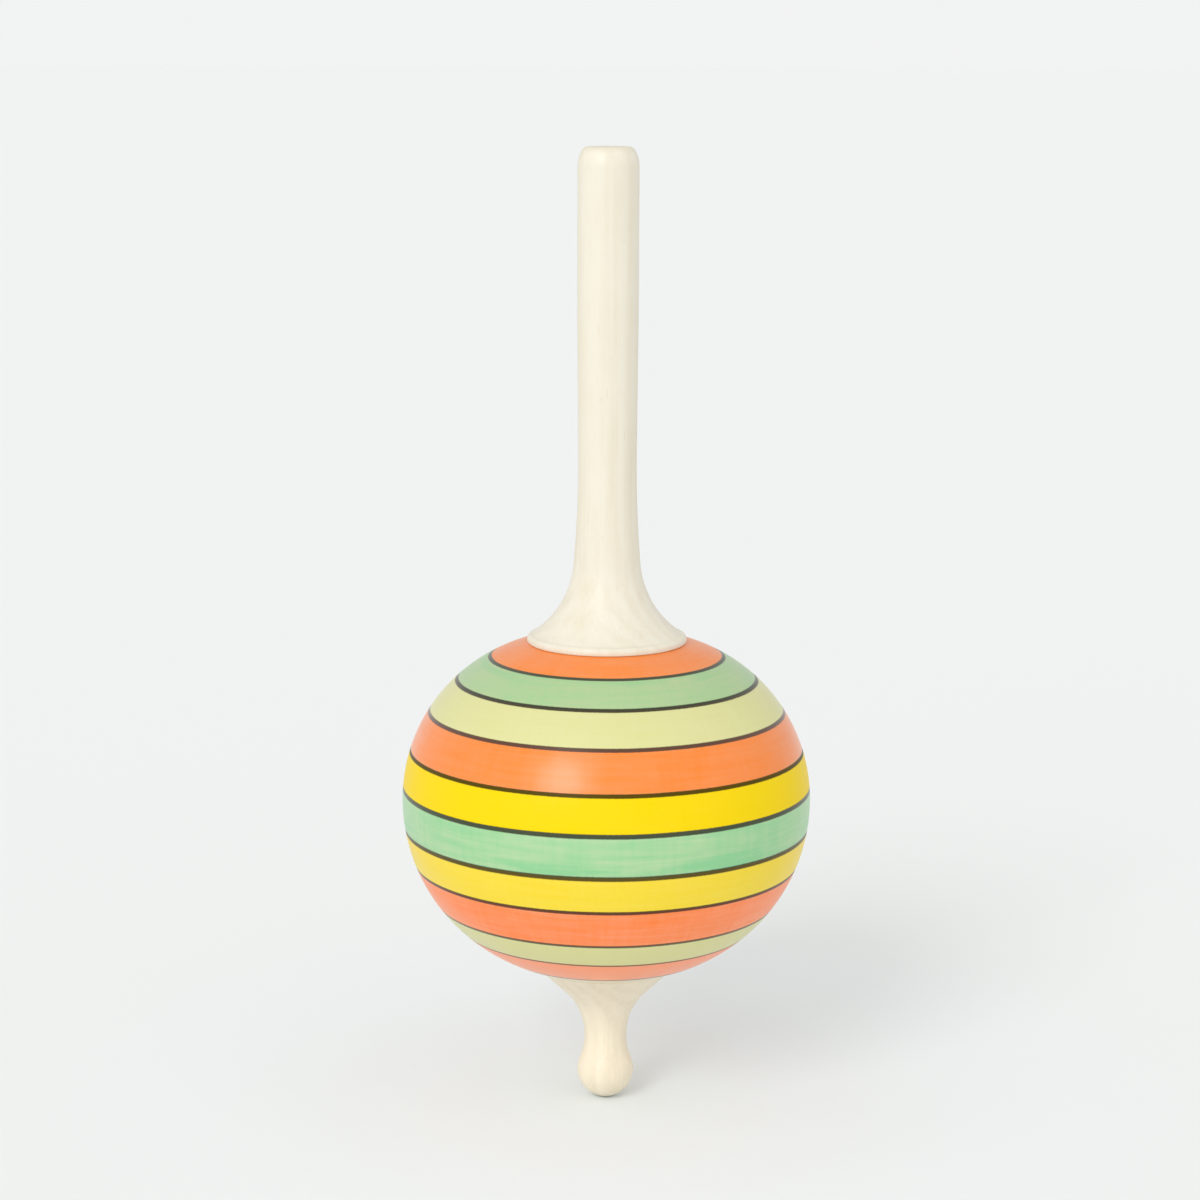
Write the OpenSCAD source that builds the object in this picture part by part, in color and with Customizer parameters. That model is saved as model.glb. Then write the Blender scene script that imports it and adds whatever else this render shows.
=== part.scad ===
// Hand-twirled spinning top: three turned pieces of wood, joined by glued tenons.
// The origin is the point that the top spins on, and +Z runs up the spin axis.

/* [Ball] */
// Diameter at the widest point
ball_d = 50; // [48:0.5:54]
// Height of the widest point above the floor
ball_z = 38.4; // [38.2:0.1:42]
// Height of the upper half, on the axis
crown_h = 20.85; // [19.5:0.05:22.5]
// Radius of the cap on top
crown_r = 36; // [34:0.5:60]
// Height of the lower half, on the axis
base_h = 22.05; // [20:0.05:22.2]
// Radius of the cap underneath
base_r = 34.7; // [33:0.1:45]
// Diameter of the bore along the axis
bore_d = 8; // [5:0.5:10]

/* [Handle] */
// Height of the whole top
total_h = 117.5; // [112:0.5:140]
// Diameter of the straight grip
grip_d = 7.35; // [6.5:0.05:9]
// Length of the straight grip
grip_l = 17.2; // [8:0.1:20]
// Length of the rounded end above the grip
end_h = 2.4; // [1.5:0.1:3]
// Radius of the rounded end in profile
end_r = 4; // [3.5:0.1:8]
// Diameter of the stem where it is thinnest
neck_d = 7.05; // [5:0.05:7.5]
// Height of the thinnest place above the floor
neck_z = 80; // [76:0.5:86]
// Radius of the long hollow curve under the thinnest place
neck_r = 150; // [100:5:300]
// Diameter of the flared foot
foot_d = 19.4; // [17:0.1:21]
// Radius of the hollow curve of the foot
foot_r = 11.8; // [10:0.1:13]
// Height of the foot's upright rim
foot_rim = 1; // [0.8:0.1:1.6]
// Length of the tenon below the rim
handle_tenon_l = 20; // [12:0.5:22]

/* [Tip] */
// Diameter of the round point
point_d = 7; // [6.4:0.1:7.1]
// Diameter of the waist
waist_d = 5.2; // [5.1:0.1:5.8]
// Radius of the hollow curve above the point
flare_r = 8; // [7:0.1:8.2]
// Slope of the cone between that curve and the rim
flare_slope = 44; // [38:0.5:44.5]
// Diameter of the rim that meets the ball
tip_rim_d = 17.3; // [15:0.1:17.6]
// Length of the tenon above the rim
tip_tenon_l = 14; // [10:0.5:16]

/* [Hidden] */
$fn = 96;
// Angle between neighbouring points of a round stretch
step = 2.5;
// Rounding of the foot's rim, and the chamfer on the tenon ends
rim_round = 0.6;
tenon_chamfer = 0.6;
ball_r = ball_d / 2;
bore_r = bore_d / 2;
foot_rim_r = foot_d / 2;
tip_rim_r = tip_rim_d / 2;

// Points of an arc about c, from angle a0 to angle a1
function arc(c, r, a0, a1) =
    let (n = ceil(abs(a1 - a0) / step))
    [for (i = [0:n]) c + r * [cos(a0 + (a1 - a0) * i / n), sin(a0 + (a1 - a0) * i / n)]];

// Each half of the ball is a cheek arc at the widest point, blended into a cap that is centred on the axis.
// h is the height of the half and r the radius of its cap.
function cheek_r(h, r) = h - pow(ball_r - h, 2) / (2 * (r - ball_r));
function cheek_x(h, r) = ball_r - cheek_r(h, r);
function blend_angle(h, r) = atan2(r - h, cheek_x(h, r));

// Angle of the surface normal above the horizontal, at radius x
function normal_at(x, h, r) =
    x > r * cos(blend_angle(h, r)) ? acos((x - cheek_x(h, r)) / cheek_r(h, r)) : acos(x / r);

// Radius and height of the half's outline where its normal has angle a
function outline_at(a, h, r) =
    a < blend_angle(h, r)
        ? [cheek_x(h, r) + cheek_r(h, r) * cos(a), cheek_r(h, r) * sin(a)]
        : [r * cos(a), h - r + r * sin(a)];

// Outline of a half between two radii, side is 1 for the upper half and -1 for the lower half
function half_outline(x0, x1, h, r, side) =
    let (a0 = normal_at(x0, h, r), a1 = normal_at(x1, h, r), n = ceil(abs(a1 - a0) / step))
    [for (i = [0:n])
        let (p = outline_at(a0 + (a1 - a0) * i / n, h, r))
        [p[0], ball_z + side * p[1]]];

// Places where the handle's foot and the tip's rim seat on the ball
crown_seat = half_outline(bore_r, foot_rim_r, crown_h, crown_r, 1);
base_seat = half_outline(bore_r, tip_rim_r, base_h, base_r, -1);
foot_z = crown_seat[len(crown_seat) - 1][1];
tip_rim_z = base_seat[len(base_seat) - 1][1];

function reversed(points) = [for (i = [len(points) - 1:-1:0]) points[i]];

// The foot's hollow curve runs on from the neck's: both centres and the place where they meet
rim_top = [foot_rim_r - rim_round, foot_z + foot_rim];
neck_c = [neck_d / 2 + neck_r, neck_z];
neck_to_rim = neck_c - rim_top;
centre_gap = neck_r - foot_r;
meet_cos = (pow(centre_gap, 2) + pow(norm(neck_to_rim), 2) - pow(foot_r, 2)) / (2 * centre_gap * norm(neck_to_rim));
meet_angle = atan2(neck_to_rim[1], neck_to_rim[0]) - acos(meet_cos);
foot_c = neck_c - centre_gap * [cos(meet_angle), sin(meet_angle)];
foot_end_angle = atan2(foot_c[1] - rim_top[1], foot_c[0] - rim_top[0]);

module handle() {
    grip_r = grip_d / 2;
    grip_top = total_h - end_h;
    end_angle = asin(end_h / end_r);
    tenon_z = foot_z - handle_tenon_l;
    color("antiquewhite")
    rotate_extrude()
    polygon(concat(
        [[0, tenon_z], [bore_r - tenon_chamfer, tenon_z], [bore_r, tenon_z + tenon_chamfer]],
        crown_seat,
        arc([foot_rim_r - rim_round, rim_top[1] - rim_round], rim_round, 0, 90),
        reversed(arc(foot_c, foot_r, 180 + meet_angle, 180 + foot_end_angle)),
        reversed(arc(neck_c, neck_r, 180, 180 + meet_angle)),
        [[grip_r, grip_top - grip_l]],
        arc([grip_r - end_r, grip_top], end_r, 0, end_angle),
        [[0, total_h]]));
}

module ball() {
    color("darkorange")
    rotate_extrude()
    polygon(concat(
        base_seat,
        half_outline(tip_rim_r, ball_r, base_h, base_r, -1),
        half_outline(ball_r, foot_rim_r, crown_h, crown_r, 1),
        reversed(crown_seat)));
}

module tip() {
    point_r = point_d / 2;
    flare_c_r = waist_d / 2 + flare_r;
    flare_c = [flare_c_r, point_r + sqrt(pow(flare_r + point_r, 2) - pow(flare_c_r, 2))];
    point_angle = atan2(flare_c[1] - point_r, flare_c_r);
    cone = flare_c + flare_r * [-sin(flare_slope), cos(flare_slope)];
    cone_top_z = cone[1] + (tip_rim_r - cone[0]) * tan(flare_slope);
    tenon_z = tip_rim_z + tip_tenon_l;
    color("antiquewhite")
    rotate_extrude()
    polygon(concat(
        arc([0, point_r], point_r, -90, point_angle),
        arc(flare_c, flare_r, 180 + point_angle, 90 + flare_slope),
        [[tip_rim_r, cone_top_z]],
        reversed(base_seat),
        [[bore_r, tenon_z - tenon_chamfer], [bore_r - tenon_chamfer, tenon_z], [0, tenon_z]]));
}

handle();
ball();
tip();
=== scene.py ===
"""A hand-twirled wooden top: three turned pieces, their finishes and a plain studio."""

import math
from collections import namedtuple

import bpy
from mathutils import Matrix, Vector


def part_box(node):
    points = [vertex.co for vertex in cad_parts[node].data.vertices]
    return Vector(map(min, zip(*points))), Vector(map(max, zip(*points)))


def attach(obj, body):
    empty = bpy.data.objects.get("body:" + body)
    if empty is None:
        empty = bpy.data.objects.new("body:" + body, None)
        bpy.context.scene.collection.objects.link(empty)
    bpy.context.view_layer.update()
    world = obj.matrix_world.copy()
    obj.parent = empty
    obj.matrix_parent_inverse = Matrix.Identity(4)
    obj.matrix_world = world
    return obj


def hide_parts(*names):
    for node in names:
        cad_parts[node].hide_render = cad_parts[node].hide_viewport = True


bl_info = {
    "name": "Spinning Top",
    "version": (1, 0, 0),
    "blender": (4, 5, 0),
    "location": "3D View > Sidebar > Spinning Top",
    "description": "Turns a hand-twirled wooden top with a banded ball and sets it in a plain studio",
    "category": "Add Mesh",
}

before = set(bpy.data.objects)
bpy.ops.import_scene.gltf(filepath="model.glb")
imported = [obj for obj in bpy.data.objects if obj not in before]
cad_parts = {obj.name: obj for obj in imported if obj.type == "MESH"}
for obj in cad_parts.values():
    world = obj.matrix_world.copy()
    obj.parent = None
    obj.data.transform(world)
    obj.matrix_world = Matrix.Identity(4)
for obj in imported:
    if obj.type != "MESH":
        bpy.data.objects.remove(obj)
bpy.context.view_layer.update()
HANDLE_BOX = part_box("handle")
BALL_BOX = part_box("ball")
TIP_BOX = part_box("tip")

MM = 0.001
# Colour of the white walls and the floor, a trace cool
WHITE = (0.99, 1.0, 0.995)
# The floor under the top, cooler still: painted coolness that cancels the warm light the stained ball bounces
# onto it
BOUNCE_CANCELLING_WHITE = (0.985, 1.045, 1.075)
# The floor is coolest up to the first of these distances from the axis and plain beyond the second
BOUNCE_CANCELLING_REACH = (10 * MM, 95 * MM)
FULL_TURN = 2 * math.pi
# Longest chord on a round stretch of an outline, in degrees of its arc
ARC_STEP = 1.5
# Chords round a softened corner
SOFT_STEPS = 7
# Every so many points of an arc are enough on a rounding under a millimetre
SMALL_ARC = 6
# Longest straight step along a tenon, a stem, the cone of the tip and the flat end
STEM_STEP = 2 * MM
CONE_STEP = 0.6 * MM
END_STEP = 0.7 * MM
# Faces round the axis, on the slender pieces and on the ball
SLENDER_STEPS = 144
BALL_STEPS = 192
# Rounded edges: the tenon's end, the lower edge of the foot and the edge of the tip at the ball
TENON_ROUND = 0.5 * MM
FOOT_ROUND = 0.22 * MM
SEAT_ROUND = 0.05 * MM
# Creases sharper than this stay sharp when a piece is smoothed
SMOOTH_LIMIT = math.radians(32)
# Middle of the growth rings of each piece's wood, beside the axis
HANDLE_HEART = (14 * MM, 21 * MM)
BALL_HEART = (19 * MM, 26 * MM)
TIP_HEART = (-17 * MM, 12 * MM)
RING_SPACING = 1.9 * MM
# The camera: its place, its tilt and roll in degrees, and its lens and sensor in millimetres
VIEW_PLACE = Vector((-1.05, -347.3, 127.6)) * MM
VIEW_TILT = 90 - 10.53
VIEW_ROLL = -0.18
LENS = 87.27
SENSOR = 36


def half_width(box):
    """Half the width of a box, in millimetres."""
    return (box[1].x - box[0].x) / 2 / MM


def length(name, description, default_mm):
    """A length property, given in millimetres and kept in metres."""
    return bpy.props.FloatProperty(
        name=name, description=description, default=default_mm * MM,
        min=0.0, precision=5, subtype="DISTANCE", unit="LENGTH",
    )


def angle(name, description, default_degrees):
    """An angle property, given in degrees and kept in radians."""
    return bpy.props.FloatProperty(
        name=name, description=description, default=math.radians(default_degrees),
        subtype="ANGLE", unit="ROTATION",
    )


def amount(name, description, default, most=10.0):
    """A property that is a plain number."""
    return bpy.props.FloatProperty(name=name, description=description, default=default, min=0.0, max=most)


def swatch(name, description, red, green, blue):
    """A colour property, given as it looks on a screen, from 0 to 255, and kept as light."""
    return bpy.props.FloatVectorProperty(
        name=name, description=description, default=[light_of(level) for level in (red, green, blue)],
        size=3, min=0.0, max=1.0, subtype="COLOR",
    )


def light_of(level):
    """The share of light that a screen level from 0 to 255 stands for."""
    share = level / 255
    return share / 12.92 if share <= 0.04045 else ((share + 0.055) / 1.055) ** 2.4


class BallSizes(bpy.types.PropertyGroup):
    """Sizes of the ball."""

    radius: length("Radius", "Radius at the widest point", half_width(BALL_BOX))
    height: length("Height", "Height of the widest point above the floor", 38.4)
    crown_height: length("Crown Height", "Height of the upper half, on the axis", 20.85)
    crown_radius: length("Crown Radius", "Radius of the cap on top", 36)
    base_height: length("Base Height", "Height of the lower half, on the axis", 22.05)
    base_radius: length("Base Radius", "Radius of the cap underneath", 34.7)
    bore_radius: length("Bore Radius", "Radius of the bore for the two tenons", 4)


class HandleSizes(bpy.types.PropertyGroup):
    """Sizes of the stem, its foot and its tenon."""

    top: length("Top", "Height of the end of the stem above the floor", HANDLE_BOX[1].z / MM)
    tenon_end: length("Tenon End", "Height of the lower end of the tenon", HANDLE_BOX[0].z / MM)
    grip_radius: length("Grip Radius", "Radius of the straight grip", 3.675)
    grip_length: length("Grip Length", "Length of the straight grip", 17.2)
    end_height: length("End Height", "Height of the rounded end above the grip", 2.4)
    end_radius: length("End Radius", "Radius of the rounded end in profile", 4)
    neck_radius: length("Neck Radius", "Radius of the stem where it is thinnest", 3.525)
    neck_height: length("Neck Height", "Height of the thinnest place", 80)
    neck_curve: length("Neck Curve", "Radius of the long hollow curve under the thinnest place", 150)
    foot_radius: length("Foot Radius", "Radius of the flared foot", half_width(HANDLE_BOX))
    foot_curve: length("Foot Curve", "Radius of the hollow curve of the foot", 11.8)
    foot_rim: length("Foot Rim", "Height of the foot's upright rim", 1)
    rim_round: length("Rim Round", "Rounding of the foot's upper rim", 0.6)
    end_round: length("End Round", "Reach of the rounding round the flat end of the stem", 0.55)


class TipSizes(bpy.types.PropertyGroup):
    """Sizes of the tip and its tenon."""

    tenon_end: length("Tenon End", "Height of the upper end of the tenon", TIP_BOX[1].z / MM)
    point_radius: length("Point Radius", "Radius of the round point", 3.5)
    waist_radius: length("Waist Radius", "Radius of the waist", 2.6)
    flare_curve: length("Flare Curve", "Radius of the hollow curve above the point", 8)
    flare_slope: angle("Flare Slope", "Slope of the cone between that curve and the rim", 44)
    rim_radius: length("Rim Radius", "Radius of the rim that meets the ball", half_width(TIP_BOX))


class StainColours(bpy.types.PropertyGroup):
    """Colours of the bare wood, the stains and the ink, each thin and thick."""

    maple: swatch("Maple", "Bare maple of the handle", 229, 223, 207)
    maple_deep: swatch("Maple Deep", "Darker fibres of bare maple", 217, 204, 177)
    # Painted light: this maple is lighter than the handle's, to make up for the shade under the ball on the
    # tip and on the bare ring
    maple_painted_lighter: swatch("Tip Maple", "Bare maple of the tip and of the ring round it", 239, 227, 204)
    orange: swatch("Orange", "Orange stain, thin", 238, 141, 80)
    orange_deep: swatch("Orange Deep", "Orange stain, thick", 241, 124, 0)
    coral: swatch("Coral", "Coral stain, thin", 252, 157, 117)
    coral_deep: swatch("Coral Deep", "Coral stain, thick", 250, 125, 46)
    sage: swatch("Sage", "Sage stain, thin", 174, 194, 144)
    sage_deep: swatch("Sage Deep", "Sage stain, thick", 149, 193, 137)
    mint: swatch("Mint", "Mint stain, thin", 175, 206, 158)
    mint_deep: swatch("Mint Deep", "Mint stain, thick", 133, 198, 142)
    lime: swatch("Lime", "Lime stain, thin", 214, 211, 151)
    lime_deep: swatch("Lime Deep", "Lime stain, thick", 207, 206, 134)
    yellow: swatch("Yellow", "Yellow stain, thin", 240, 215, 77)
    yellow_deep: swatch("Yellow Deep", "Yellow stain, thick", 239, 206, 0)
    ink: swatch("Ink", "Pen lines between the bands", 54, 44, 20)


class StudioLight(bpy.types.PropertyGroup):
    """Light and floor of the studio."""

    key_turn: angle("Key Turn", "How far the key light stands to the left of the camera", 28)
    key_height: angle("Key Height", "Height of the key light above the horizon", 32)
    key_spread: angle("Key Spread", "How wide the key light looks from the top", 25)
    key_strength: amount("Key Strength", "Strength of the key light", 0.92)
    walls_turn: angle("Walls Turn", "How far the brightest walls stand to the left of the camera", 5)
    walls_height: angle("Walls Height", "Height of the brightest direction, below 0 for a dim ceiling", -35)
    bright_walls: amount("Bright Walls", "Brightness of the white walls in the brightest direction", 1.29)
    dim_walls: amount("Dim Walls", "Brightness of the white walls in the opposite direction", 0.7)
    floor_tone: amount("Floor Tone", "Share of the light that the floor gives back", 0.862, most=1.0)


# ---------------------------------------------------------------- outlines


def arc(centre, radius, start, end):
    """Points of an arc in the plane of radius and height, from one angle to another, in radians."""
    count = max(1, math.ceil(math.degrees(abs(end - start)) / ARC_STEP))
    angles = [start + (end - start) * i / count for i in range(count + 1)]
    return [(centre[0] + radius * math.cos(a), centre[1] + radius * math.sin(a)) for a in angles]


class BallHalf:
    """Outline of one half of the ball: a cheek at the widest point that blends into a cap on the axis."""

    def __init__(self, sizes, height, cap_radius, side):
        self.middle = sizes.height
        self.height = height
        self.cap_radius = cap_radius
        self.side = side
        self.cheek_radius = height - (sizes.radius - height) ** 2 / (2 * (cap_radius - sizes.radius))
        self.cheek_centre = sizes.radius - self.cheek_radius
        self.blend = math.atan2(cap_radius - height, self.cheek_centre)

    def slope_at(self, radius):
        """Angle of the surface's normal above the horizontal, at that radius."""
        if radius > self.cap_radius * math.cos(self.blend):
            return math.acos(min(1.0, (radius - self.cheek_centre) / self.cheek_radius))
        return math.acos(radius / self.cap_radius)

    def point_at(self, slope):
        """Radius and height where the surface's normal has that angle."""
        if slope < self.blend:
            radius = self.cheek_centre + self.cheek_radius * math.cos(slope)
            rise = self.cheek_radius * math.sin(slope)
        else:
            radius = self.cap_radius * math.cos(slope)
            rise = self.height - self.cap_radius + self.cap_radius * math.sin(slope)
        return radius, self.middle + self.side * rise

    def outline(self, start_radius, end_radius):
        """Points between two radii."""
        start = self.slope_at(start_radius)
        end = self.slope_at(end_radius)
        count = max(1, math.ceil(math.degrees(abs(end - start)) / ARC_STEP))
        return [self.point_at(start + (end - start) * i / count) for i in range(count + 1)]


def crown_of(sizes):
    """The upper half of the ball."""
    return BallHalf(sizes, sizes.crown_height, sizes.crown_radius, 1)


def base_of(sizes):
    """The lower half of the ball."""
    return BallHalf(sizes, sizes.base_height, sizes.base_radius, -1)


def soften(outline, corner, reach):
    """Rounds one corner of an outline with a smooth curve between the places at that reach on both sides."""
    near = [i for i, point in enumerate(outline) if math.dist(point, corner) < reach]
    before = toward(corner, outline[near[0] - 1], reach)
    after = toward(corner, outline[near[-1] + 1], reach)
    curve = []
    for i in range(SOFT_STEPS + 1):
        share = i / SOFT_STEPS
        weights = ((1 - share) ** 2, 2 * share * (1 - share), share**2)
        curve.append(tuple(sum(w * p[k] for w, p in zip(weights, (before, corner, after))) for k in range(2)))
    return outline[:near[0]] + curve + outline[near[-1] + 1:]


def toward(start, end, distance):
    """The place at that distance from the start on the way to the end."""
    share = distance / math.dist(start, end)
    return tuple(a + (b - a) * share for a, b in zip(start, end))


def straight(start, end, longest):
    """Points between two ends of a straight stretch, without the first."""
    count = max(1, math.ceil(math.dist(start, end) / longest))
    return [tuple(a + (b - a) * i / count for a, b in zip(start, end)) for i in range(1, count + 1)]


# ---------------------------------------------------------------- turning


def deselect_all():
    """Leaves nothing selected, in object mode."""
    for piece in bpy.context.selected_objects:
        piece.select_set(False)


def turn(name, outline, steps, closed):
    """Draws an outline as a chain of edges and spins it round the axis, as on a lathe."""
    deselect_all()
    bpy.ops.mesh.primitive_plane_add(size=MM, location=(outline[0][0], 0, outline[0][1]))
    piece = bpy.context.object
    piece.name = piece.data.name = name
    bpy.ops.object.mode_set(mode="EDIT")
    bpy.ops.mesh.merge(type="CENTER")
    for here, there in zip(outline, outline[1:]):
        step = (there[0] - here[0], 0, there[1] - here[1])
        bpy.ops.mesh.extrude_region_move(TRANSFORM_OT_translate={"value": step})
    if closed:
        join_ends(piece)
    bpy.ops.mesh.select_all(action="SELECT")
    bpy.ops.mesh.spin(steps=steps, angle=FULL_TURN, center=(0, 0, 0), axis=(0, 0, 1))
    bpy.ops.mesh.select_all(action="SELECT")
    bpy.ops.mesh.remove_doubles(threshold=0.0005 * MM)
    bpy.ops.mesh.normals_make_consistent(inside=False)
    bpy.ops.object.mode_set(mode="OBJECT")
    bpy.ops.object.transform_apply(location=True, rotation=True, scale=True)
    if not piece.data.polygons:
        raise RuntimeError(f"{name} has no faces")
    return piece


def join_ends(piece):
    """Closes a chain of edges between its first and last point."""
    bpy.ops.mesh.select_all(action="DESELECT")
    bpy.ops.object.mode_set(mode="OBJECT")
    uses = [0] * len(piece.data.vertices)
    for edge in piece.data.edges:
        for corner in edge.vertices:
            uses[corner] += 1
    for corner, count in zip(piece.data.vertices, uses):
        corner.select = count == 1
    bpy.ops.object.mode_set(mode="EDIT")
    bpy.ops.mesh.edge_face_add()


def round_edges(piece, places, width, segments):
    """Bevels the rings of edges that run round the axis at these radii and heights."""
    bpy.ops.object.mode_set(mode="EDIT")
    bpy.ops.mesh.select_mode(type="EDGE")
    bpy.ops.mesh.select_all(action="DESELECT")
    bpy.ops.object.mode_set(mode="OBJECT")
    near = 0.01 * MM
    corners = piece.data.vertices
    spots = [(math.hypot(corner.co.x, corner.co.y), corner.co.z) for corner in corners]
    on_ring = [any(math.dist(spot, place) < near for place in places) for spot in spots]
    for edge in piece.data.edges:
        a, b = edge.vertices
        edge.select = on_ring[a] and on_ring[b] and abs(corners[a].co.z - corners[b].co.z) < near
    if not any(edge.select for edge in piece.data.edges):
        raise RuntimeError(f"{piece.name} has no ring of edges at {places}")
    bpy.ops.object.mode_set(mode="EDIT")
    bpy.ops.mesh.bevel(offset=width, segments=segments, affect="EDGES", profile=0.5)
    bpy.ops.mesh.select_mode(type="VERT")
    bpy.ops.object.mode_set(mode="OBJECT")


def finish_piece(piece, material, node):
    """Smooths a piece, gives it its material and ties it to the frame."""
    deselect_all()
    piece.select_set(True)
    bpy.context.view_layer.objects.active = piece
    bpy.ops.object.shade_smooth_by_angle(angle=SMOOTH_LIMIT)
    piece.data.materials.clear()
    piece.data.materials.append(material)
    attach(piece, "root")
    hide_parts(node)


# ---------------------------------------------------------------- shader trees


class Wire:
    """One socket of a shader tree, where sums and products of wires add Math nodes."""

    def __init__(self, finish, socket):
        self.finish = finish
        self.socket = socket

    def __add__(self, other):
        return self.finish.maths("ADD", self, other)

    def __sub__(self, other):
        return self.finish.maths("SUBTRACT", self, other)

    def __rsub__(self, other):
        return self.finish.maths("SUBTRACT", other, self)

    def __mul__(self, other):
        return self.finish.maths("MULTIPLY", self, other)

    def __truediv__(self, other):
        return self.finish.maths("DIVIDE", self, other)

    __radd__ = __add__
    __rmul__ = __mul__


class Finish:
    """The node tree of one material."""

    def __init__(self, name):
        self.material = bpy.data.materials.new(name)
        self.material.use_nodes = True
        self.tree = self.material.node_tree
        self.tree.nodes.clear()

    def node(self, kind, settings=None, sockets=None, output=0):
        """Adds a node, sets its settings and then its sockets, and returns the wire of one output."""
        made = self.tree.nodes.new(kind)
        for name, value in (settings or {}).items():
            if name == "stops":
                self.set_stops(made.color_ramp, value)
            else:
                setattr(made, name, value)
        for name, value in (sockets or {}).items():
            if isinstance(value, Wire):
                self.tree.links.new(value.socket, made.inputs[name])
            else:
                made.inputs[name].default_value = value
        return Wire(self, made.outputs[output]) if made.outputs else None

    @staticmethod
    def set_stops(ramp, stops):
        """Gives a ramp its stops, as pairs of place and colour."""
        while len(ramp.elements) > 1:
            ramp.elements.remove(ramp.elements[-1])
        ramp.interpolation = "CONSTANT"
        for i, (place, colour) in enumerate(stops):
            element = ramp.elements[0] if i == 0 else ramp.elements.new(place)
            element.position = place
            element.color = (*colour, 1.0)

    def maths(self, operation, *values):
        """Adds a Math node on one to three values."""
        return self.node("ShaderNodeMath", {"operation": operation}, dict(enumerate(values)))

    def fade(self, value, start, end):
        """Rises smoothly from 0 to 1 as the value goes from start to end."""
        sockets = {"Value": value, "From Min": start, "From Max": end}
        return self.node("ShaderNodeMapRange", {"interpolation_type": "SMOOTHSTEP"}, sockets)

    def noise(self, x, y, z, detail=2.0, roughness=0.5):
        """Smooth noise from 0 to 1 on three coordinates."""
        place = self.node("ShaderNodeCombineXYZ", None, {"X": x, "Y": y, "Z": z})
        return self.node(
            "ShaderNodeTexNoise", {"noise_dimensions": "3D"},
            {"Vector": place, "Scale": 1.0, "Detail": detail, "Roughness": roughness},
        )

    def blend(self, share, first, second, way="MIX"):
        """Mixes two colours."""
        sockets = {0: share, 6: colour_of(first), 7: colour_of(second)}
        return self.node("ShaderNodeMix", {"data_type": "RGBA", "blend_type": way}, sockets, output=2)


def colour_of(value):
    """A wire as it is, and a colour with its fourth number."""
    return value if isinstance(value, Wire) else (*value, 1.0)


class TurnedPlace:
    """Where a point of a turned piece lies: across the grain, along the axis and round it."""

    def __init__(self, finish):
        coordinates = finish.node("ShaderNodeTexCoord", output="Object")
        self.x = finish.node("ShaderNodeSeparateXYZ", None, {0: coordinates}, output="X")
        split = self.x.socket.node
        self.y = Wire(finish, split.outputs["Y"])
        self.z = Wire(finish, split.outputs["Z"])
        self.radius = finish.maths("SQRT", self.x * self.x + self.y * self.y)
        inside = finish.maths("MAXIMUM", self.radius, 0.01 * MM)
        self.round_x = self.x / inside
        self.round_y = self.y / inside


def maple_grain(finish, place, pale, deep, heart):
    """Colour and relief of fine-sanded maple. Its fibres run along the axis and its rings round heart."""
    drift = finish.noise(place.x * 60, place.y * 60, place.z * 25, 2.0) * (1.2 * MM)
    off_x = place.x - heart[0] + drift
    off_y = place.y - heart[1] + drift
    distance = finish.maths("SQRT", off_x * off_x + off_y * off_y)
    ring = finish.maths("SINE", distance * (FULL_TURN / RING_SPACING))
    fibre = finish.noise(place.x * 2600, place.y * 2600, place.z * 70, 3.0, 0.6)
    strand = finish.noise(place.x * 900, place.y * 900, place.z * 40, 2.0)
    cloud = finish.noise(place.x * 190, place.y * 190, place.z * 110, 3.0)
    fleck = finish.noise(place.x * 3300, place.y * 3300, place.z * 480, 1.0)
    dashes = finish.fade(fleck, 0.66, 0.78)
    depth = 0.18 + ring * 0.09 + (fibre - 0.5) * 0.55 + (strand - 0.5) * 0.6
    depth = depth + (cloud - 0.5) * 0.75 + dashes * 0.35
    share = finish.node("ShaderNodeClamp", None, {"Value": depth})
    colour = finish.blend(share, pale, deep)
    relief = fibre * 0.6 + strand * 0.3 - dashes * 0.5
    return colour, relief


def wax(finish, colour, roughness, relief, coat):
    """A satin wax over the wood, with the relief of its fibres."""
    bump = finish.node("ShaderNodeBump", None, {"Strength": 0.6, "Distance": 0.016 * MM, "Height": relief})
    shader = finish.node(
        "ShaderNodeBsdfPrincipled", None,
        {
            "Base Color": colour, "Roughness": roughness, "Normal": bump,
            "Specular IOR Level": 0.08, "Coat Weight": coat, "Coat Roughness": 0.3,
        },
    )
    finish.node("ShaderNodeOutputMaterial", None, {"Surface": shader})
    return finish.material


def bare_wood(name, pale, deep, heart, end_height=None):
    """Waxed bare maple. Near end_height the saw has cut across the fibres, so the wood is yellower."""
    finish = Finish(name)
    place = TurnedPlace(finish)
    colour, relief = maple_grain(finish, place, pale, deep, heart)
    lathe = finish.noise(place.round_x * 0.8, place.round_y * 0.8, place.z * 4200, 2.0)
    relief = relief + lathe * 0.35
    if end_height is not None:
        cut = finish.fade(place.z, end_height - 0.9 * MM, end_height - 0.1 * MM)
        pores = finish.noise(place.x * 4200, place.y * 4200, place.z * 400, 2.0)
        colour = finish.blend(cut * (0.15 + pores * 0.5), colour, deep)
    roughness = 0.42 + (finish.noise(place.x * 700, place.y * 700, place.z * 120, 2.0) - 0.5) * 0.16
    return wax(finish, colour, roughness, relief, 0.35)


# A band of stain. soak is its depth, from thin to thick, and uneven is how much the brush varied it.
# line, width and ink belong to the pen line under the band: latitude in degrees, width in millimetres
# and strength. gloss is how much of the clear wax shows on the band.
Band = namedtuple("Band", "stain soak uneven line width ink gloss")

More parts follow.
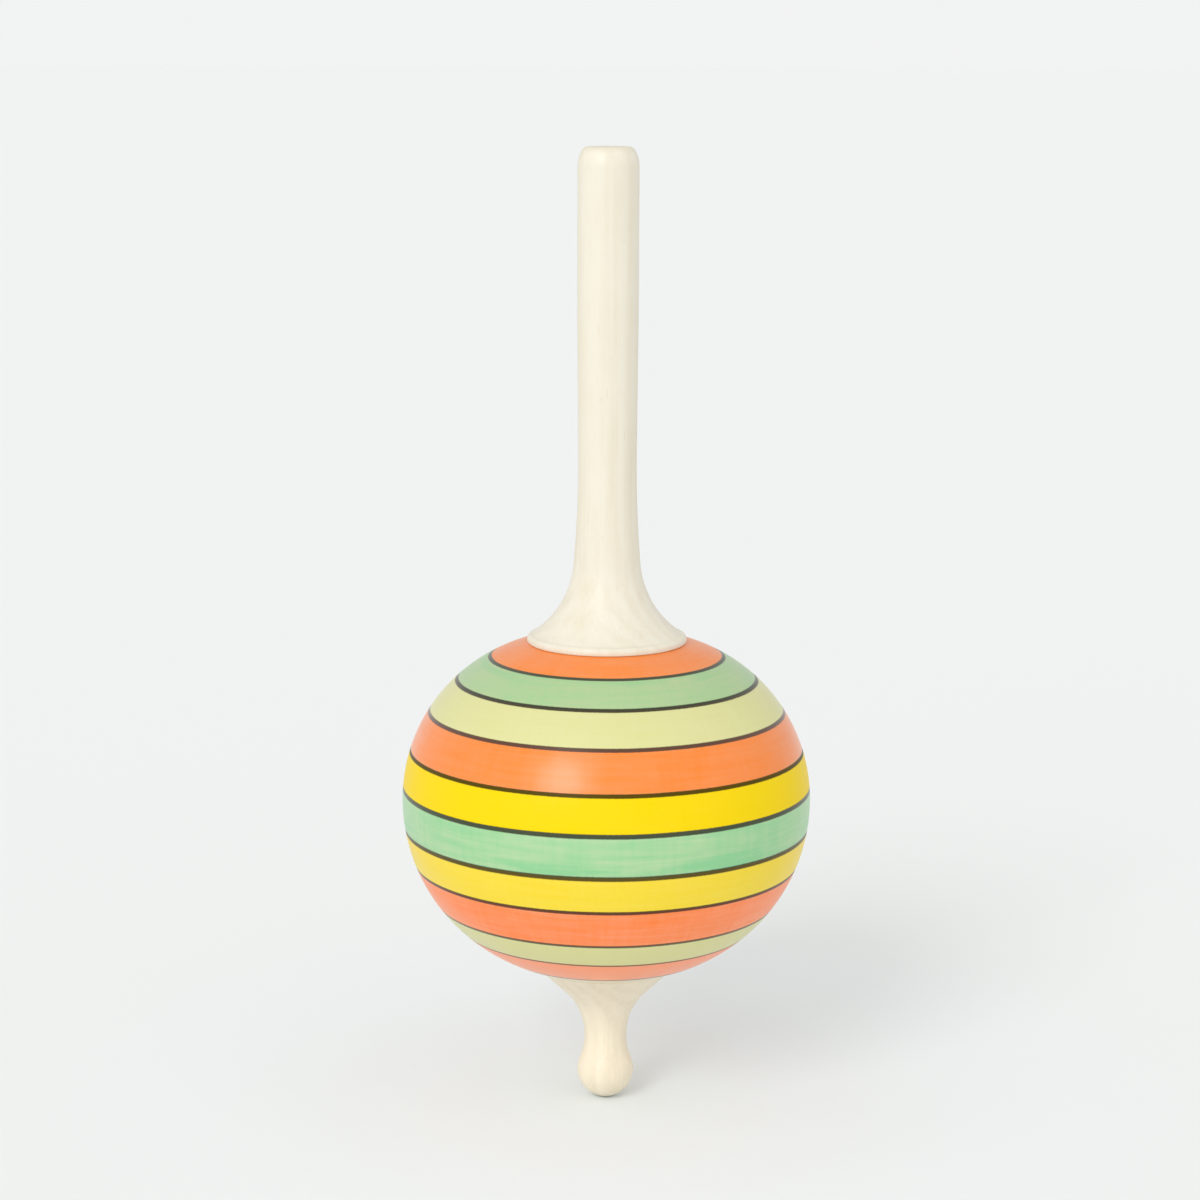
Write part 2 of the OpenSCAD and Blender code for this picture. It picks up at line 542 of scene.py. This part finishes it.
# The ball's bands from the foot down
BANDS = (
    Band("orange", 0.50, 0.40, 51.3, 0.56, 0.94, 0.7),
    Band("sage", 0.35, 0.50, 39.3, 0.60, 0.98, 0.7),
    Band("lime", 0.30, 0.30, 27.0, 0.53, 0.94, 0.7),
    Band("orange", 0.85, 0.50, 14.5, 0.53, 0.94, 1.0),
    Band("yellow", 0.98, 0.08, 3.8, 0.58, 0.94, 0.0),
    Band("mint", 0.40, 0.50, -7.9, 0.61, 0.93, 0.6),
    Band("yellow", 0.45, 0.22, -18.5, 0.50, 0.92, 0.35),
    Band("coral", 0.75, 0.40, -31.4, 0.45, 0.88, 0.5),
    Band("lime", 0.25, 0.25, -41.6, 0.39, 0.80, 0.5),
    Band("coral", 0.05, 0.20, -55.9, 0.62, 0.92, 0.5),
)
# Gloss of the bare ring round the tip
BARE_GLOSS = 0.5
# Latitude where the colour ramps start and how far they reach, in degrees
RAMP_START = -80
RAMP_SPAN = 160

# Places where the stain pooled beside a line: latitude and reach in degrees, and depth
POOLS = ((49.4, 2.4, 0.9), (-5.6, 3.0, 0.8))


def mixed(first, second, share):
    """A colour between two colours."""
    return tuple(a + (b - a) * share for a, b in zip(first, second))


def banded_wood(colours, sizes):
    """Maple stained in bands by a brush on the lathe, with pen lines between them, under satin wax."""
    finish = Finish("banded wood")
    place = TurnedPlace(finish)
    # The wood under the stains starts from the maple painted lighter against the shade under the ball
    wood, relief = maple_grain(finish, place, colours.maple_painted_lighter, colours.maple_deep, BALL_HEART)
    wander = (finish.noise(place.round_x * 2, place.round_y * 2, 0.0, 1.0) - 0.5) * 0.004
    latitude = finish.maths("ARCTAN2", place.z - sizes.height, place.radius)
    drawn = latitude + wander

    lowest = math.radians(RAMP_START)
    span = math.radians(RAMP_SPAN)
    # The bare ring round the tip takes the maple painted lighter, as painted light against the shade under
    # the ball
    bare = tuple(colours.maple_painted_lighter)
    thin_stops, thick_stops, gloss_stops = [(0.0, bare)], [(0.0, bare)], [(0.0, (BARE_GLOSS,) * 3)]
    for band in reversed(BANDS):
        start = (math.radians(band.line) - lowest) / span
        thin, thick = getattr(colours, band.stain), getattr(colours, band.stain + "_deep")
        thin_stops.append((start, mixed(thin, thick, max(0.0, band.soak - band.uneven))))
        thick_stops.append((start, mixed(thin, thick, min(1.0, band.soak + band.uneven))))
        gloss_stops.append((start, (band.gloss,) * 3))
    along = (drawn - lowest) / span
    thin_coat = finish.node("ShaderNodeValToRGB", {"stops": thin_stops}, {"Fac": along})
    thick_coat = finish.node("ShaderNodeValToRGB", {"stops": thick_stops}, {"Fac": along})
    gloss = finish.node("ShaderNodeValToRGB", {"stops": gloss_stops}, {"Fac": along})

    streak = finish.noise(place.round_x * 2.4, place.round_y * 2.4, latitude * 46, 4.0, 0.6)
    cloud = finish.noise(place.x * 130, place.y * 130, place.z * 190, 3.0)
    fibre = finish.noise(place.round_x * 26, place.round_y * 26, latitude * 4, 3.0, 0.6)
    soak = 0.45 + (streak - 0.5) * 1.6 + (cloud - 0.5) * 1.1 + (fibre - 0.5) * 0.9
    brush = finish.noise(place.round_x * 1.6 + 7, place.round_y * 1.6, latitude * 12, 2.0)
    for middle, reach, depth in POOLS:
        away = finish.maths("ABSOLUTE", latitude - math.radians(middle))
        near_line = 1 - finish.fade(away, 0.0, math.radians(reach))
        soak = soak + near_line * finish.fade(brush, 0.42, 0.66) * depth
    soaked = finish.node("ShaderNodeClamp", None, {"Value": soak})
    stained = finish.blend(soaked, thin_coat, thick_coat)
    bare_from = math.radians(-BANDS[-1].line)
    bare = finish.fade(drawn * -1.0, bare_from - 0.002, bare_from + 0.002)
    colour = finish.blend(bare, stained, wood)

    ink = None
    ragged = (finish.noise(place.round_x * 90, place.round_y * 90, latitude * 60, 2.0) - 0.5) * 0.003
    for band in BANDS:
        half = band.width * MM / 2 / sizes.radius
        away = finish.maths("ABSOLUTE", drawn - math.radians(band.line)) + ragged
        stroke = (1 - finish.fade(away, half * 0.7, half * 1.25)) * band.ink
        ink = stroke if ink is None else finish.maths("MAXIMUM", ink, stroke)
    dark = finish.blend(1.0, colour, colours.ink, "MULTIPLY")
    dark = finish.blend(0.35, dark, colours.ink)
    colour = finish.blend(ink, colour, dark)

    roughness = 0.36 + (finish.noise(place.x * 800, place.y * 800, place.z * 500, 2.0) - 0.5) * 0.16
    relief = relief + streak * 0.5
    return wax(finish, colour, roughness, relief, gloss)


# ---------------------------------------------------------------- operators


class TurnHandle(bpy.types.Operator):
    """Turns the stem with its flared foot and the tenon under it."""

    bl_idname = "spinning_top.turn_handle"
    bl_label = "Turn Handle"

    def execute(self, context):
        sizes = context.scene.top_handle
        ball = context.scene.top_ball
        crown = crown_of(ball)
        seat = crown.outline(ball.bore_radius, sizes.foot_radius)
        foot_height = seat[-1][1]
        rim_top = (sizes.foot_radius - sizes.rim_round, foot_height + sizes.foot_rim)

        neck = (sizes.neck_radius + sizes.neck_curve, sizes.neck_height)
        reach = (neck[0] - rim_top[0], neck[1] - rim_top[1])
        gap = sizes.neck_curve - sizes.foot_curve
        span = math.hypot(*reach)
        turn_in = math.acos((gap**2 + span**2 - sizes.foot_curve**2) / (2 * gap * span))
        meet = math.atan2(reach[1], reach[0]) - turn_in
        foot = (neck[0] - gap * math.cos(meet), neck[1] - gap * math.sin(meet))
        foot_end = math.atan2(foot[1] - rim_top[1], foot[0] - rim_top[0])

        grip_top = sizes.top - sizes.end_height
        end_angle = math.asin(sizes.end_height / sizes.end_radius)
        end_centre = (sizes.grip_radius - sizes.end_radius, grip_top)
        rim_centre = (rim_top[0], rim_top[1] - sizes.rim_round)
        tenon_corner = (ball.bore_radius, sizes.tenon_end)
        grip_start = (sizes.grip_radius, grip_top - sizes.grip_length)
        end_edge = (end_centre[0] + sizes.end_radius * math.cos(end_angle), sizes.top)

        outline = [(0, sizes.tenon_end)]
        outline += straight(outline[-1], tenon_corner, STEM_STEP)
        outline += straight(outline[-1], seat[0], STEM_STEP)
        outline += seat[1:]
        outline += arc(rim_centre, sizes.rim_round, 0, math.radians(90))[::SMALL_ARC]
        outline += arc(foot, sizes.foot_curve, math.pi + meet, math.pi + foot_end)[::-1][1:]
        outline += arc(neck, sizes.neck_curve, math.pi, math.pi + meet)[::-1][1:]
        outline += straight(outline[-1], grip_start, STEM_STEP)
        outline += straight(outline[-1], (sizes.grip_radius, grip_top), STEM_STEP)
        outline += arc(end_centre, sizes.end_radius, 0, end_angle)[1:]
        outline += straight(outline[-1], (0, sizes.top), END_STEP)
        outline = soften(outline, end_edge, sizes.end_round)

        piece = turn("turned_handle", outline, SLENDER_STEPS, closed=False)
        round_edges(piece, [tenon_corner], TENON_ROUND, 2)
        round_edges(piece, [seat[-1]], FOOT_ROUND, 4)
        colours = context.scene.top_colours
        pale, deep = colours.maple, colours.maple_deep
        wood = bare_wood("bare wood of the handle", pale, deep, HANDLE_HEART, sizes.top)
        finish_piece(piece, wood, "handle")
        return {"FINISHED"}


class TurnBall(bpy.types.Operator):
    """Turns the ball with its bore and stains its bands."""

    bl_idname = "spinning_top.turn_ball"
    bl_label = "Turn Ball"

    def execute(self, context):
        sizes = context.scene.top_ball
        below = base_of(sizes).outline(sizes.bore_radius, sizes.radius)
        above = crown_of(sizes).outline(sizes.radius, sizes.bore_radius)
        outline = below + above[1:]
        outline += straight(above[-1], below[0], STEM_STEP)[:-1]
        piece = turn("banded_ball", outline, BALL_STEPS, closed=True)
        finish_piece(piece, banded_wood(context.scene.top_colours, sizes), "ball")
        return {"FINISHED"}


class TurnTip(bpy.types.Operator):
    """Turns the tip that the top spins on, with the tenon above it."""

    bl_idname = "spinning_top.turn_tip"
    bl_label = "Turn Tip"

    def execute(self, context):
        sizes = context.scene.top_tip
        ball = context.scene.top_ball
        seat = base_of(ball).outline(sizes.rim_radius, ball.bore_radius)
        flare_across = sizes.waist_radius + sizes.flare_curve
        flare_up = math.sqrt((sizes.flare_curve + sizes.point_radius) ** 2 - flare_across**2)
        flare = (flare_across, sizes.point_radius + flare_up)
        meet = math.atan2(flare_up, flare_across)
        tenon_corner = (ball.bore_radius, sizes.tenon_end)

        outline = arc((0, sizes.point_radius), sizes.point_radius, math.radians(-90), meet)
        outline += arc(flare, sizes.flare_curve, math.pi + meet, math.radians(90) + sizes.flare_slope)[1:]
        cone_rise = (sizes.rim_radius - outline[-1][0]) * math.tan(sizes.flare_slope)
        outline += straight(outline[-1], (sizes.rim_radius, outline[-1][1] + cone_rise), CONE_STEP)
        outline += seat
        outline += straight(outline[-1], tenon_corner, STEM_STEP)
        outline += straight(outline[-1], (0, sizes.tenon_end), STEM_STEP)

        piece = turn("turned_tip", outline, SLENDER_STEPS, closed=False)
        round_edges(piece, [tenon_corner], TENON_ROUND, 2)
        round_edges(piece, [seat[0]], SEAT_ROUND, 2)
        colours = context.scene.top_colours
        # The tip's maple is painted lighter than the handle's, to make up for the shade under the ball
        wood = bare_wood("bare wood of the tip", colours.maple_painted_lighter, colours.maple_deep, TIP_HEART)
        finish_piece(piece, wood, "tip")
        return {"FINISHED"}


class SetStudio(bpy.types.Operator):
    """Lays the pale floor and sets the soft light, the white surround and the camera."""

    bl_idname = "spinning_top.set_studio"
    bl_label = "Set Studio"

    def execute(self, context):
        scene = context.scene
        studio = scene.top_studio
        self.lay_floor(studio)
        self.hang_key(studio)
        self.paint_surround(scene, studio)
        self.place_camera(scene)
        scene.view_settings.view_transform = "Standard"
        return {"FINISHED"}

    def lay_floor(self, studio):
        deselect_all()
        bpy.ops.mesh.primitive_circle_add(vertices=128, radius=40, fill_type="NGON")
        floor = bpy.context.object
        floor.name = floor.data.name = "studio_floor"
        bpy.ops.object.mode_set(mode="EDIT")
        for width in (30, 7, 2.5):
            bpy.ops.mesh.inset(thickness=width, depth=0)
        bpy.ops.mesh.select_all(action="SELECT")
        bpy.ops.mesh.normals_make_consistent(inside=False)
        bpy.ops.object.mode_set(mode="OBJECT")
        paper = Finish("white paper")
        place = TurnedPlace(paper)
        # Painted against bounced light: the floor is tinted cool near the top to cancel the warm light that
        # the stained ball throws onto it
        near = 1 - paper.fade(place.radius, *BOUNCE_CANCELLING_REACH)
        plain = [studio.floor_tone * level for level in WHITE]
        cool = [studio.floor_tone * level for level in BOUNCE_CANCELLING_WHITE]
        tone = paper.blend(near, plain, cool)
        white = paper.node("ShaderNodeBsdfDiffuse", None, {"Color": tone})
        clear = paper.node("ShaderNodeBsdfTransparent")
        under = paper.node("ShaderNodeNewGeometry", output="Backfacing")
        shown = paper.node("ShaderNodeMixShader", None, {0: under, 1: white, 2: clear})
        paper.node("ShaderNodeOutputMaterial", None, {"Surface": shown})
        floor.data.materials.append(paper.material)

    def hang_key(self, studio):
        bpy.ops.object.light_add(type="SUN")
        key = bpy.context.object
        key.name = "key_light"
        key.rotation_euler = (math.radians(90) - studio.key_height, 0, -studio.key_turn)
        key.data.energy = studio.key_strength
        key.data.angle = studio.key_spread

    def paint_surround(self, scene, studio):
        """White walls, brighter on the camera's side. The camera sees them as bright as the far floor."""
        world = bpy.data.worlds.new("white surround")
        scene.world = world
        world.use_nodes = True
        nodes = world.node_tree.nodes
        nodes.clear()
        link = world.node_tree.links.new

        level = math.cos(studio.walls_height)
        left, front = math.sin(studio.walls_turn) * level, math.cos(studio.walls_turn) * level
        bright_side = Vector((-left, -front, math.sin(studio.walls_height)))
        mean = (studio.bright_walls + studio.dim_walls) / 2
        from_bright = (studio.bright_walls - studio.dim_walls) / 3 * bright_side.z
        from_key = studio.key_strength / math.pi * math.sin(studio.key_height)
        far_floor = studio.floor_tone * (mean + from_bright + from_key)

        def white(strength):
            walls = nodes.new("ShaderNodeBackground")
            walls.inputs["Color"].default_value = (*WHITE, 1.0)
            walls.inputs["Strength"].default_value = strength
            return walls.outputs[0]

        direction = nodes.new("ShaderNodeTexCoord")
        facing = nodes.new("ShaderNodeVectorMath")
        facing.operation = "DOT_PRODUCT"
        facing.inputs[1].default_value = bright_side
        share = nodes.new("ShaderNodeMapRange")
        share.inputs["From Min"].default_value = -1.0
        walls = nodes.new("ShaderNodeMixShader")
        ray = nodes.new("ShaderNodeLightPath")
        shown = nodes.new("ShaderNodeMixShader")
        out = nodes.new("ShaderNodeOutputWorld")
        link(direction.outputs["Generated"], facing.inputs[0])
        link(facing.outputs["Value"], share.inputs["Value"])
        link(share.outputs[0], walls.inputs[0])
        link(white(studio.dim_walls), walls.inputs[1])
        link(white(studio.bright_walls), walls.inputs[2])
        link(ray.outputs["Is Camera Ray"], shown.inputs[0])
        link(walls.outputs[0], shown.inputs[1])
        link(white(far_floor), shown.inputs[2])
        link(shown.outputs[0], out.inputs["Surface"])

    def place_camera(self, scene):
        bpy.ops.object.camera_add(
            location=VIEW_PLACE,
            rotation=(math.radians(VIEW_TILT), math.radians(VIEW_ROLL), 0),
        )
        camera = bpy.context.object
        camera.name = "camera"
        camera.data.lens = LENS
        camera.data.sensor_width = SENSOR
        camera.data.clip_start = 0.01
        camera.data.clip_end = 100
        scene.camera = camera


class SpinningTopPanel(bpy.types.Panel):
    """Sizes, colours and light of the top, and the operators that build it."""

    bl_idname = "VIEW3D_PT_spinning_top"
    bl_label = "Spinning Top"
    bl_space_type = "VIEW_3D"
    bl_region_type = "UI"
    bl_category = "Spinning Top"

    def draw(self, context):
        for group in GROUPS:
            box = self.layout.box()
            settings = getattr(context.scene, group)
            for name in settings.__annotations__:
                box.prop(settings, name)
        for operator in OPERATORS:
            self.layout.operator(operator.bl_idname)


GROUPS = {
    "top_ball": BallSizes,
    "top_handle": HandleSizes,
    "top_tip": TipSizes,
    "top_colours": StainColours,
    "top_studio": StudioLight,
}
OPERATORS = (TurnHandle, TurnBall, TurnTip, SetStudio)


def register():
    for group in GROUPS.values():
        bpy.utils.register_class(group)
    for operator in OPERATORS:
        bpy.utils.register_class(operator)
    bpy.utils.register_class(SpinningTopPanel)
    for name, group in GROUPS.items():
        setattr(bpy.types.Scene, name, bpy.props.PointerProperty(type=group))


def unregister():
    for name in GROUPS:
        delattr(bpy.types.Scene, name)
    bpy.utils.unregister_class(SpinningTopPanel)
    for operator in reversed(OPERATORS):
        bpy.utils.unregister_class(operator)
    for group in reversed(list(GROUPS.values())):
        bpy.utils.unregister_class(group)


def main():
    register()
    bpy.ops.spinning_top.turn_handle()
    bpy.ops.spinning_top.turn_ball()
    bpy.ops.spinning_top.turn_tip()
    bpy.ops.spinning_top.set_studio()


if __name__ == "__main__":
    main()
